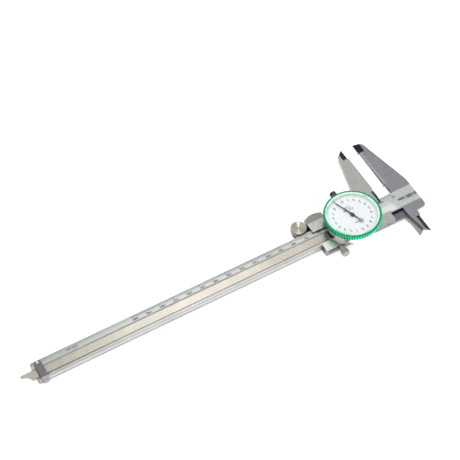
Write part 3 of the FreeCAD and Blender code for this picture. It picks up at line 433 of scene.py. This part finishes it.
def bar_and_head(s):
    """Satin chrome along the bar and across the head, forged grey on the jaws."""
    rail = s.above(s.x, RAIL_START)
    band = s.either(s.between(s.y, -BAR_HALF, HEAD_BAND_NEAR), rail)
    run = s.run(s.x, 0.0, HEAD_TONE_END)
    strip = s.both(run, s.between(s.y, TICK_HEADS[1], NUMBER_STRIP_TOP))
    chrome = s.mix(strip, s.mix(run, HEAD_CHROME, BAR_CHROME), NUMBER_CHROME)
    colour = s.mix(band, FORGED_GREY, chrome)
    colour = s.mix(s.above(s.y, HEAD_BAND_NEAR), colour, s.mix(rail, FORGED_GREY, RAIL))
    jaw_edge = s.both(s.above(s.x, -JAW_EDGE_STRIP), s.below(s.y, JAW_ROOT_Y))
    return s.mix(jaw_edge, colour, EDGE_GREY)


def rail_side(s, colour):
    """The bar's upright side, painted light as a painted reflection of the pale floor, with painted shade
    along its foot and a painted shadow at the head, and the dark line on the rail.
    """
    square = s.above(s.facing_y, SQUARE, soft=0.05)
    on_side = s.between(s.y, BAR_HALF - BAR_SIDE_SLACK, BAR_HALF + BAR_SIDE_SLACK, soft=0.02 * MM)
    # Painted reflection of the pale floor on the side, with painted shade along its foot
    side = s.mix(s.above(s.z, RAIL_FOOT), SHADOW_GREY, RAIL_SIDE_REFLECTION)
    # Painted shadow on the side at the head, beside the slider
    side = s.mix(s.above(s.x, HEAD_SHADOW_END), BLACKENED_AND_SHADOW, side)
    colour = s.mix(s.both(square, on_side), colour, side)
    line = s.between(s.y, RAIL_LINE_Y, RAIL_LINE_Y + RAIL_LINE_WIDTH)
    return s.mix(s.both(line, s.above(s.x, RAIL_START)), colour, SHADOW_GREY)


def groove(s, colour):
    """Walls and floor of the groove painted pale and made less metallic, painted light that takes away the
    groove's shade.
    """
    sunk = s.both(s.between(s.y, *GROOVE_Y), s.between(s.z, *GROOVE_Z))
    s.set("Metallic", s.ranged(sunk, STEEL_METALLIC, GROOVE_METALLIC, 0.0, 1.0))
    # Painted light on the walls and floor of the groove
    return s.mix(sunk, colour, s.mix(s.above(s.facing_z, UPWARD), GROOVE_WALL_LIGHTENED, GROOVE_FLOOR_LIGHTENED))


def jaw_faces(s, colour):
    """The lapped measuring face under its dark relief, and the blackened bevels of jaw and nib."""
    measuring = s.both(s.above(s.facing_x, LAPPED_SQUARE, soft=0.02), s.below(s.y, -BAR_HALF))
    lapped_top = s.ranged(s.y, LAPPED_TOP_AT_TIP, LAPPED_TOP_AT_ROOT, JAW_BEVEL_TOP, JAW_ROOT_Y)
    relief = s.above(maths(s.tree, "SUBTRACT", s.z, lapped_top), 0.0)
    colour = s.mix(measuring, colour, s.mix(relief, LAPPED, BLACKENED_AND_SHADOW))
    tip = s.both(s.below(s.y, JAW_BEVEL_TOP), s.between(s.facing_x, *JAW_BEVEL, soft=0.01))
    nib = s.both(s.above(s.y, NIB_BLADE_Y), s.between(s.facing_x, *NIB_BEVEL, soft=0.01))
    return s.mix(s.either(tip, nib), colour, BLACKENED_AND_SHADOW)


def beam_steel():
    """Satin chrome along the bar and head, darker ground steel elsewhere, blackened jaw tips."""
    s = Surface("beam_steel", metallic=STEEL_METALLIC)
    colour = rail_side(s, bar_and_head(s))
    return ground(s, jaw_faces(s, groove(s, colour)), ALONG_X)


def rack_steel():
    """Pale ground steel with a painted shadow along its seam against the rail."""
    s = Surface("rack_steel", metallic=STEEL_METALLIC)
    seam = s.above(s.y, RACK_HIGH.y - RACK_SEAM)
    # Painted shadow along the seam against the rail
    return ground(s, s.mix(seam, RAIL, SHADOW_GREY), ALONG_X)


# Slider and rod

def slider_top(s):
    """Warm grey with a painted highlight growing towards the rod, painted shade on the far block and on
    the lap, and other tones on the jaw, finger rest and nib.
    """
    # Painted highlight: the top grows lighter towards the rod end
    top = s.mix(s.run(s.x, SLIDER_LOW.x, SLIDER_HIGH.x), SLIDER_DIM_END, SLIDER_LIT_END)
    # Painted shade on the far block, under the dial
    top = s.mix(s.below(s.y, FAR_BLOCK_Y), top, SLIDER_FAR_BLOCK_SHADE)
    top = s.mix(s.below(s.y, JAW_ROOT_Y), top, SLIDER_JAW)
    rest = s.both(s.between(s.z, *REST_Z), s.below(s.y, REST_ROOT_Y))
    top = s.mix(rest, top, SLIDER_REST)
    # Painted shade on the low lap under the head
    lap = s.below(s.z, LAP_TOP)
    top = s.mix(lap, top, SLIDER_LAP_SHADE)
    return s.mix(s.both(lap, s.above(s.y, NIB_ROOT_Y)), top, SLIDER_NIB)


def slider_sides(s, colour):
    """Blackened bevels on the jaw that are partly a painted shadow of the gap beneath, painted shade on
    the ends towards the rod, and a painted stripe of shade on the near wall.
    """
    # Bevels painted black, partly blackened steel and partly painted shadow of the gap beneath
    bevel = s.both(s.between(s.facing_x, *SLIDER_BEVEL, soft=0.02), s.below(s.y, 0.0))
    colour = s.mix(bevel, colour, BLACKENED_AND_SHADOW)
    # Painted shade on the ends that face the rod
    end = s.both(s.above(s.facing_x, SQUARE), s.between(s.y, REST_ROOT_Y, END_NEAR, soft=MM))
    colour = s.mix(end, colour, END_SHADE)
    # Painted stripe of shade along the middle of the near wall
    stripe = s.both(s.above(s.facing_y, SQUARE), s.between(s.z, *WALL_Z))
    stripe = s.both(stripe, s.between(s.x, *WALL_X, soft=0.5 * MM))
    return s.mix(stripe, colour, WALL_SHADE)


def slider_steel():
    """Warm grey ground steel, darker on the jaw and finger rest, with painted shade on the sides and
    blackened bevels that are partly painted shadow.
    """
    s = Surface("slider_steel", metallic=STEEL_METALLIC)
    # Faces that do not look up get the painted shade of the sides
    colour = s.mix(s.above(s.facing_z, SLIDER_TOP_SQUARE, soft=0.03), SLIDER_SIDE_SHADE, slider_top(s))
    return ground(s, slider_sides(s, colour), ALONG_Y, rough=(0.22, 0.32))


def rod_steel():
    """Cream-toned ground steel, brushed across its length, with painted shade on it beside the slider."""
    s = Surface("rod_steel", metallic=STEEL_METALLIC)
    # Painted shade beside the slider's web, fading out along the rod
    colour = s.mix(s.run(s.x, ROD_SHADE_END, ROD_UNSHADED_START), ROD_SHADE, ROD_CREAM)
    return ground(s, colour, ALONG_Y, rough=(0.22, 0.28), contrast=0.04)


# Fittings

def dark_steel():
    """Dark grey steel, with a painted highlight where the end strap wraps over the rail and painted shade
    on faces that look towards +X.
    """
    s = Surface("dark_steel", metallic=0.7)
    # Painted highlight where the strap wraps over the rail
    colour = s.mix(s.above(s.y, STRAP_HIGHLIGHT_Y, soft=0.2 * MM), DARK_GREY, STRAP_HIGHLIGHT)
    # Painted shade on faces that look towards +X
    colour = s.mix(s.above(s.facing_x, SQUARE), colour, END_SHADE)
    return ground(s, colour, ALONG_Y, rough=(0.35, 0.5))


def bright_steel():
    s = Surface("bright_steel", metallic=0.95)
    return ground(s, SCREW_GREY, ALONG_X, rough=(0.2, 0.3))


def brass():
    s = Surface("brass", metallic=0.95)
    return ground(s, BRASS_YELLOW, ALONG_X, rough=(0.22, 0.34))


def case_chrome():
    """Nickel-chrome plate, finely polished."""
    s = Surface("case_chrome", metallic=1.0)
    return ground(s, CASE_CHROME, EVEN, rough=(0.12, 0.18), contrast=0.05, relief=0.002 * MM)


def knob_nickel():
    """Nickel plate, with the ring-shaped lathe marks of the thumb wheel's face."""
    s = Surface("knob_nickel", metallic=0.9, anisotropic=0.85)
    s.set("Tangent", s.vector("NORMALIZE", s.spoke(WHEEL_CENTRE)).outputs[0])
    return ground(s, NICKEL_GREY, EVEN, rough=(0.32, 0.40), contrast=0.05)


def lock_steel():
    """Warm grey knurled steel."""
    s = Surface("lock_steel", metallic=STEEL_METALLIC)
    return ground(s, LOCK_GREY, EVEN)


def knob_brown():
    s = Surface("knob_brown", metallic=0.4)
    return ground(s, KNOB_BROWN, EVEN, rough=(0.35, 0.5))


# Bezel, dial and crystal

def dial_radius(s):
    """The distance from the dial's axis."""
    return s.vector("LENGTH", s.spoke(DIAL_CENTRE)).outputs["Value"]


def bezel_green():
    """Bright green anodising, with painted shade deepening the green in the grooves of the knurl and a
    painted highlight on its crests; the flat top is a darker green.
    """
    s = Surface("bezel_green", metallic=1.0)
    # Painted shade in the knurl's grooves and painted highlight on its crests
    crest = s.run(dial_radius(s), BEZEL_R - RIB_DEPTH, BEZEL_R)
    rim = s.above(s.facing_z, BEZEL_RIM_SQUARE, soft=0.03)
    colour = s.mix(rim, s.mix(crest, RIB_GROOVE_SHADE, RIB_CREST_HIGHLIGHT), RIM_GREEN)
    coated(s, colour, s.noise(BEZEL_CLOUDS, detail=2.0), rough=(0.22, 0.32), contrast=0.1)
    s.bump(s.noise(BEZEL_GRAIN), relief=0.002 * MM, edge=EDGE)
    return s.material


def bezel_lip():
    """The polished slopes of the bezel, painted pale mint as a painted reflection of the dial and the
    table.
    """
    s = Surface("bezel_lip", metallic=0.2)
    cloud = s.noise(BEZEL_CLOUDS, detail=2.0)
    # Painted reflection: the slopes are coloured pale mint
    coated(s, LIP_MINT_REFLECTION, cloud, rough=(0.16, 0.24), contrast=0.04)
    s.bump(cloud, relief=0.003 * MM)
    return s.material


def dial_white():
    """Enamelled dial: cool white, with a painted reflection of the bezel's green along its rim."""
    s = Surface("dial_white")
    grain = s.noise(ENAMEL_GRAIN)
    # Painted reflection of the bezel's green, growing towards the dial's rim
    rim = s.run(dial_radius(s), GREEN_BOUNCE_FROM, GREEN_BOUNCE_TO)
    coated(s, s.mix(rim, ENAMEL, ENAMEL_GREEN_BOUNCE), grain, rough=(0.45, 0.55), contrast=0.015)
    s.bump(grain, relief=0.002 * MM)
    return s.material


def ink(name, colour):
    """Printing ink with a slightly uneven tone and film."""
    s = Surface(name)
    film = s.noise(INK_GRAIN)
    coated(s, colour, film, rough=(0.5, 0.7), contrast=0.15)
    s.bump(film, relief=0.002 * MM)
    return s.material


def pointer_black():
    """Blued steel, nearly black."""
    s = Surface("pointer_black", metallic=0.3)
    grain = s.noise(HAND_GRAIN)
    coated(s, HAND_BLACK, grain, rough=(0.3, 0.42), contrast=0.2)
    s.bump(grain, relief=0.003 * MM, edge=EDGE / 2)
    return s.material


def crystal_clear():
    """A clear plate that lets light through and mirrors a little of the room."""
    material = bpy.data.materials.new("crystal_clear")
    material.use_nodes = True
    tree = material.node_tree
    output = tree.nodes["Material Output"]
    tree.nodes.remove(tree.nodes["Principled BSDF"])
    place = add(tree, "ShaderNodeTexCoord").outputs["Object"]
    inputs = {"Vector": place, "Scale": CRYSTAL_SMEAR, "Detail": 2.0}
    smear = add(tree, "ShaderNodeTexNoise", inputs).outputs[0]
    haze = add(tree, "ShaderNodeMapRange", {0: smear, 3: CRYSTAL_HAZE[0], 4: CRYSTAL_HAZE[1]}).outputs[0]
    ripple = add(tree, "ShaderNodeBump", {"Height": smear, "Distance": CRYSTAL_RIPPLE}).outputs[0]
    clear = add(tree, "ShaderNodeBsdfTransparent", {"Color": CRYSTAL_TINT})
    gloss = add(tree, "ShaderNodeBsdfAnisotropic", {"Color": WHITE, "Roughness": haze, "Normal": ripple})
    mirror = add(tree, "ShaderNodeFresnel", {"IOR": CRYSTAL_IOR}).outputs[0]
    outside = maths(tree, "SUBTRACT", 1.0, add(tree, "ShaderNodeNewGeometry").outputs["Backfacing"])
    share = maths(tree, "MULTIPLY", mirror, outside)
    plate = add(tree, "ShaderNodeMixShader", {0: share, 1: clear.outputs[0], 2: gloss.outputs[0]})
    tree.links.new(plate.outputs[0], output.inputs["Surface"])
    return material


BRASS = brass()
GREEN = bezel_green()
LIP = bezel_lip()
STEEL_LOCK = lock_steel()
INK_GREY = ink("ink_grey", rgb(0.045, 0.05, 0.055))
INK_DARK = ink("ink_dark", rgb(0.02, 0.022, 0.025))
INK_PALE = ink("ink_pale", rgb(0.20, 0.21, 0.23))

SLOT_FINISH = {
    "beam_steel": beam_steel(),
    "rack_steel": rack_steel(),
    "slider_steel": slider_steel(),
    "rod_steel": rod_steel(),
    "dark_steel": dark_steel(),
    "screw_steel": bright_steel(),
    "brass": BRASS,
    "gib_brass": BRASS,
    "case_chrome": case_chrome(),
    "bezel_green": GREEN,
    "dial_white": dial_white(),
    "pointer_black": pointer_black(),
    "crystal_clear": crystal_clear(),
    "knob_nickel": knob_nickel(),
    "knob_brown": knob_brown(),
}


def paint(obj, material):
    obj.data.materials.clear()
    obj.data.materials.append(material)


def finish_nodes():
    """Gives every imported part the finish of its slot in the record, and the lock screw its own."""
    for part in frame["record"]["subparts"]:
        paint(NODES[part["node"]], SLOT_FINISH[part["material_slot"]])
    paint(NODES["lock_screw"], STEEL_LOCK)


# Mesh helpers

def placed(name, data):
    """A new object in the scene."""
    obj = bpy.data.objects.new(name, data)
    bpy.context.scene.collection.objects.link(obj)
    return obj


def piece(name, bm, body, slot, *materials):
    """A new piece that rides on a body and takes the materials given; its slot is not used."""
    mesh = bpy.data.meshes.new(name)
    bmesh.ops.recalc_face_normals(bm, faces=bm.faces)
    bm.to_mesh(mesh)
    bm.free()
    obj = placed(name, mesh)
    for material in materials:
        mesh.materials.append(material)
    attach(obj, body)
    return obj


def stroke(bm, start, end, width, top):
    """A thin flat stroke of ink from start to end, in X and Y, whose face is at the top."""
    along = (Vector(end) - Vector(start)).normalized()
    across = Vector((-along.y, along.x)) * (width / 2)
    corners = [Vector(start) - across, Vector(end) - across, Vector(end) + across, Vector(start) + across]
    low = [bm.verts.new((c.x, c.y, top - INK_DEPTH - INK_LIFT)) for c in corners]
    high = [bm.verts.new((c.x, c.y, top)) for c in corners]
    bm.faces.new(low[::-1])
    bm.faces.new(high)
    for i in range(4):
        j = (i + 1) % 4
        bm.faces.new((low[i], low[j], high[j], high[i]))


def write(bm, text, size, at, align="CENTER", bold=INK_BOLD):
    """Flat raised lettering at a point, upright along +Y."""
    curve = bpy.data.curves.new("lettering", "FONT")
    curve.body = text
    curve.size = size
    curve.extrude = INK_DEPTH
    curve.offset = bold
    curve.align_x = align
    curve.align_y = "CENTER"
    curve.resolution_u = LETTER_SMOOTHNESS
    obj = placed("lettering", curve)
    bpy.context.view_layer.update()
    mesh = bpy.data.meshes.new_from_object(obj)
    mesh.transform(Matrix.Translation(at))
    bpy.data.objects.remove(obj)
    bpy.data.curves.remove(curve)
    bm.from_mesh(mesh)
    bpy.data.meshes.remove(mesh)


# Scale along the beam

def scale_ticks():
    """A mark at each millimetre, longer at the fives and longest at the tens."""
    bm = bmesh.new()
    for value in range(SCALE_LENGTH + 1):
        x = SCALE_ZERO + value * MM
        step = 10 if value % 10 == 0 else 5 if value % 5 == 0 else 1
        stroke(bm, (x, TICK_FOOT), (x, TICK_HEADS[step]), TICK_WIDTHS[step], BEAM_TOP + INK_LIFT)
    piece("scale_ticks", bm, "beam", "pointer_black", INK_GREY)


def scale_numbers():
    """The tens, each to the left of its mark."""
    bm = bmesh.new()
    for value in range(0, SCALE_LENGTH + 1, 10):
        at = (SCALE_ZERO + value * MM - NUMBER_GAP, NUMBER_Y, BEAM_TOP)
        write(bm, str(value), NUMBER_SIZE, at, "RIGHT", NUMBER_BOLD)
    piece("scale_numbers", bm, "beam", "pointer_black", INK_DARK)


def beam_lettering():
    """The range on the head, and the reading of one division near the rod end."""
    bm = bmesh.new()
    write(bm, "0-200 mm", RANGE_SIZE, RANGE_AT, bold=RANGE_BOLD)
    write(bm, "0.02 mm", READING_SIZE, READING_AT)
    piece("beam_lettering", bm, "beam", "pointer_black", INK_DARK)


# Dial printing

def on_dial(radius, turn):
    """A point on the dial, by its radius and the share of a turn clockwise from +Y."""
    angle = 2 * math.pi * turn
    return DIAL_CENTRE.x + radius * math.sin(angle), DIAL_CENTRE.y + radius * math.cos(angle)


def dial_ticks():
    """A hundred marks, longer at the fives, inside a fine circle."""
    bm = bmesh.new()
    for i in range(DIVISIONS):
        step = 5 if i % 5 == 0 else 1
        inner = on_dial(DIAL_TICK_INNERS[step], i / DIVISIONS)
        outer = on_dial(DIAL_TICK_OUTER, i / DIVISIONS)
        stroke(bm, inner, outer, DIAL_TICK_WIDTHS[step], DIAL_INK_Z)
    for i in range(CIRCLE_STEPS):
        start = on_dial(DIAL_TICK_OUTER, i / CIRCLE_STEPS)
        end = on_dial(DIAL_TICK_OUTER, (i + 1) / CIRCLE_STEPS)
        stroke(bm, start, end, CIRCLE_WIDTH, DIAL_INK_Z)
    piece("dial_ticks", bm, "bezel", "pointer_black", INK_PALE)


def dial_numerals():
    """0 to 9 twice round the dial, all upright."""
    bm = bmesh.new()
    for i in range(NUMERALS):
        x, y = on_dial(NUMERAL_R, i / NUMERALS)
        write(bm, str(i % 10), NUMERAL_SIZE, (x, y, DIAL_HIGH.z))
    piece("dial_numerals", bm, "bezel", "pointer_black", INK_GREY)


def dial_lettering():
    """The unit, the reading of one division and the range."""
    bm = bmesh.new()
    for text, size, y in DIAL_TEXTS:
        write(bm, text, size, (DIAL_CENTRE.x, DIAL_CENTRE.y + y, DIAL_HIGH.z))
    piece("dial_lettering", bm, "bezel", "pointer_black", INK_GREY)


# Bezel, turned from a profile with a finely knurled rim

def bezel_profile():
    """The bezel's section as (radius, height, knurled, polished), counter-clockwise from inside below."""
    ledge = DIAL_R - LEDGE_DEPTH
    seat = CRYSTAL_R + CRYSTAL_GAP
    low, high = BEZEL_LOW.z, BEZEL_HIGH.z
    points = [
        (ledge, low, False, False),
        (BEZEL_R - FOOT_INSET, low, False, True),
        (BEZEL_R - SKIRT_INSET, low + SKIRT_RISE, False, True),
        (BEZEL_R, low + RIB_RISE, True, False),
        (BEZEL_R, high - RIM_ROUND, True, False),
    ]
    for i in range(1, RIM_ROUND_STEPS):
        a = math.pi / 2 * i / RIM_ROUND_STEPS
        radius = BEZEL_R - RIM_ROUND * (1 - math.cos(a))
        points.append((radius, high - RIM_ROUND * (1 - math.sin(a)), True, False))
    points += [
        (BEZEL_R - RIM_ROUND, high, False, False),
        (BEZEL_R - RIM_WIDTH, high, False, True),
        (seat, high - LIP_DROP, False, True),
        (seat, CRYSTAL_LOW.z, False, True),
        (DIAL_R, CRYSTAL_LOW.z, False, True),
        (DIAL_R, DIAL_LOW.z, False, False),
        (ledge, DIAL_LOW.z, False, False),
    ]
    return points


def bezel_section(bm, profile, angle, dip):
    """The profile's corners at one angle round the dial, with the knurled ones moved in by the dip."""
    section = []
    for radius, height, knurled, _ in profile:
        r = radius - (dip if knurled else 0)
        x = DIAL_CENTRE.x + r * math.cos(angle)
        y = DIAL_CENTRE.y + r * math.sin(angle)
        section.append(bm.verts.new((x, y, height)))
    return section


def bezel_ring():
    """The bezel with its knurl, green outside and pale on its polished slopes."""
    profile = bezel_profile()
    count = RIBS * STEPS_PER_RIB
    bm = bmesh.new()
    sections = []
    for i in range(count):
        dip = RIB_DEPTH * (0.5 - 0.5 * math.cos(2 * math.pi * i / STEPS_PER_RIB))
        sections.append(bezel_section(bm, profile, 2 * math.pi * i / count, dip))
    for i in range(count):
        here, there = sections[i], sections[(i + 1) % count]
        for k in range(len(profile)):
            m = (k + 1) % len(profile)
            face = bm.faces.new((here[k], there[k], there[m], here[m]))
            face.smooth = profile[k][2] and profile[m][2]
            face.material_index = 1 if profile[k][3] and profile[m][3] else 0
    ring = piece("bezel_ring", bm, "bezel", "bezel_green", GREEN, LIP)
    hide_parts("bezel")


# Stage, light and camera

def stage():
    """A plain pale floor at the caliper's foot."""
    mesh = bpy.data.meshes.new("floor")
    z = CAD_BOX[0].z
    corners = [(x * FLOOR_HALF, y * FLOOR_HALF, z) for x, y in ((-1, -1), (1, -1), (1, 1), (-1, 1))]
    mesh.from_pydata(corners, [], [(0, 1, 2, 3)])
    floor = placed("floor", mesh)
    s = Surface("floor_white", roughness=0.9)
    cloud = s.ranged(s.noise(FLOOR_CLOUDS), 1 - FLOOR_CONTRAST, 1 + FLOOR_CONTRAST)
    s.set("Base Color", s.shade(FLOOR_WHITE, cloud))
    s.shader.inputs["Emission Color"].default_value = WHITE
    s.shader.inputs["Emission Strength"].default_value = FLOOR_GLOW
    paint(floor, s.material)


def world():
    """A pale room, bright overhead and grey below the horizon."""
    made = bpy.data.worlds.new("room")
    bpy.context.scene.world = made
    made.use_nodes = True
    tree = made.node_tree
    place = add(tree, "ShaderNodeTexCoord").outputs["Generated"]
    height = add(tree, "ShaderNodeSeparateXYZ", {0: place}).outputs[2]
    share = add(tree, "ShaderNodeMapRange", {0: height, 1: -1.0, 2: 1.0}).outputs[0]
    ramp = add(tree, "ShaderNodeValToRGB", {0: share})
    stops = ramp.color_ramp.elements
    while len(stops) < len(WORLD_TONES):
        stops.new(WORLD_TONES[1][0])
    for stop, (position, grey) in zip(stops, WORLD_TONES):
        stop.position = position
        stop.color = rgb(grey, grey, grey)
    background = tree.nodes["Background"]
    tree.links.new(ramp.outputs[0], background.inputs["Color"])
    background.inputs["Strength"].default_value = WORLD_STRENGTH


def lamp(name, kind, place, aim, **settings):
    """A light at a place, turned towards its aim."""
    data = bpy.data.lights.new(name, kind)
    for setting, value in settings.items():
        setattr(data, setting, value)
    made = placed(name, data)
    made.location = place
    made.rotation_euler = (Vector(aim) - Vector(place)).to_track_quat("-Z", "Y").to_euler()


def lights():
    """Soft studio light, and a narrow spot that shows the lathe marks of the thumb wheel."""
    lamp("key", "AREA", (0.02, -0.318, 0.48), LAMP_AIM, shape="DISK", size=0.2, energy=0.2)
    lamp("top", "AREA", WHEEL_LAMP_AT, WHEEL_CENTRE, shape="DISK", size=0.05, energy=0.4)
    lamp("wheel_spot", "SPOT", WHEEL_LAMP_AT, WHEEL_CENTRE, spot_size=math.radians(2.4),
         spot_blend=0.6, shadow_soft_size=0.02, energy=13.0)
    lamp("fill", "AREA", (0.7, 0.9, 0.6), LAMP_AIM, shape="DISK", size=0.5, energy=0.6)


def camera():
    """The camera, with its axes worked out from its azimuth, elevation and roll."""
    flat = math.cos(CAMERA_ELEVATION)
    back = Vector((math.sin(CAMERA_AZIMUTH) * flat, math.cos(CAMERA_AZIMUTH) * flat,
                   math.sin(CAMERA_ELEVATION)))
    right = Vector((0, 0, 1)).cross(back).normalized()
    up = back.cross(right)
    rolled_right = right * math.cos(CAMERA_ROLL) + up * math.sin(CAMERA_ROLL)
    rolled_up = back.cross(rolled_right)
    data = bpy.data.cameras.new("camera")
    data.lens = CAMERA_LENS
    data.sensor_width = CAMERA_SENSOR
    data.shift_x = -CAMERA_SHIFT
    data.shift_y = CAMERA_SHIFT
    data.clip_start = CAMERA_CLIP
    made = placed("camera", data)
    turn = Matrix((rolled_right, rolled_up, back)).transposed()
    made.matrix_world = Matrix.Translation(CAMERA_AIM + back * CAMERA_DISTANCE) @ turn.to_4x4()
    bpy.context.scene.camera = made


camera()
finish_nodes()
scale_ticks()
scale_numbers()
beam_lettering()
dial_ticks()
dial_numerals()
dial_lettering()
bezel_ring()
stage()
world()
lights()
bpy.context.scene.view_settings.view_transform = "Standard"
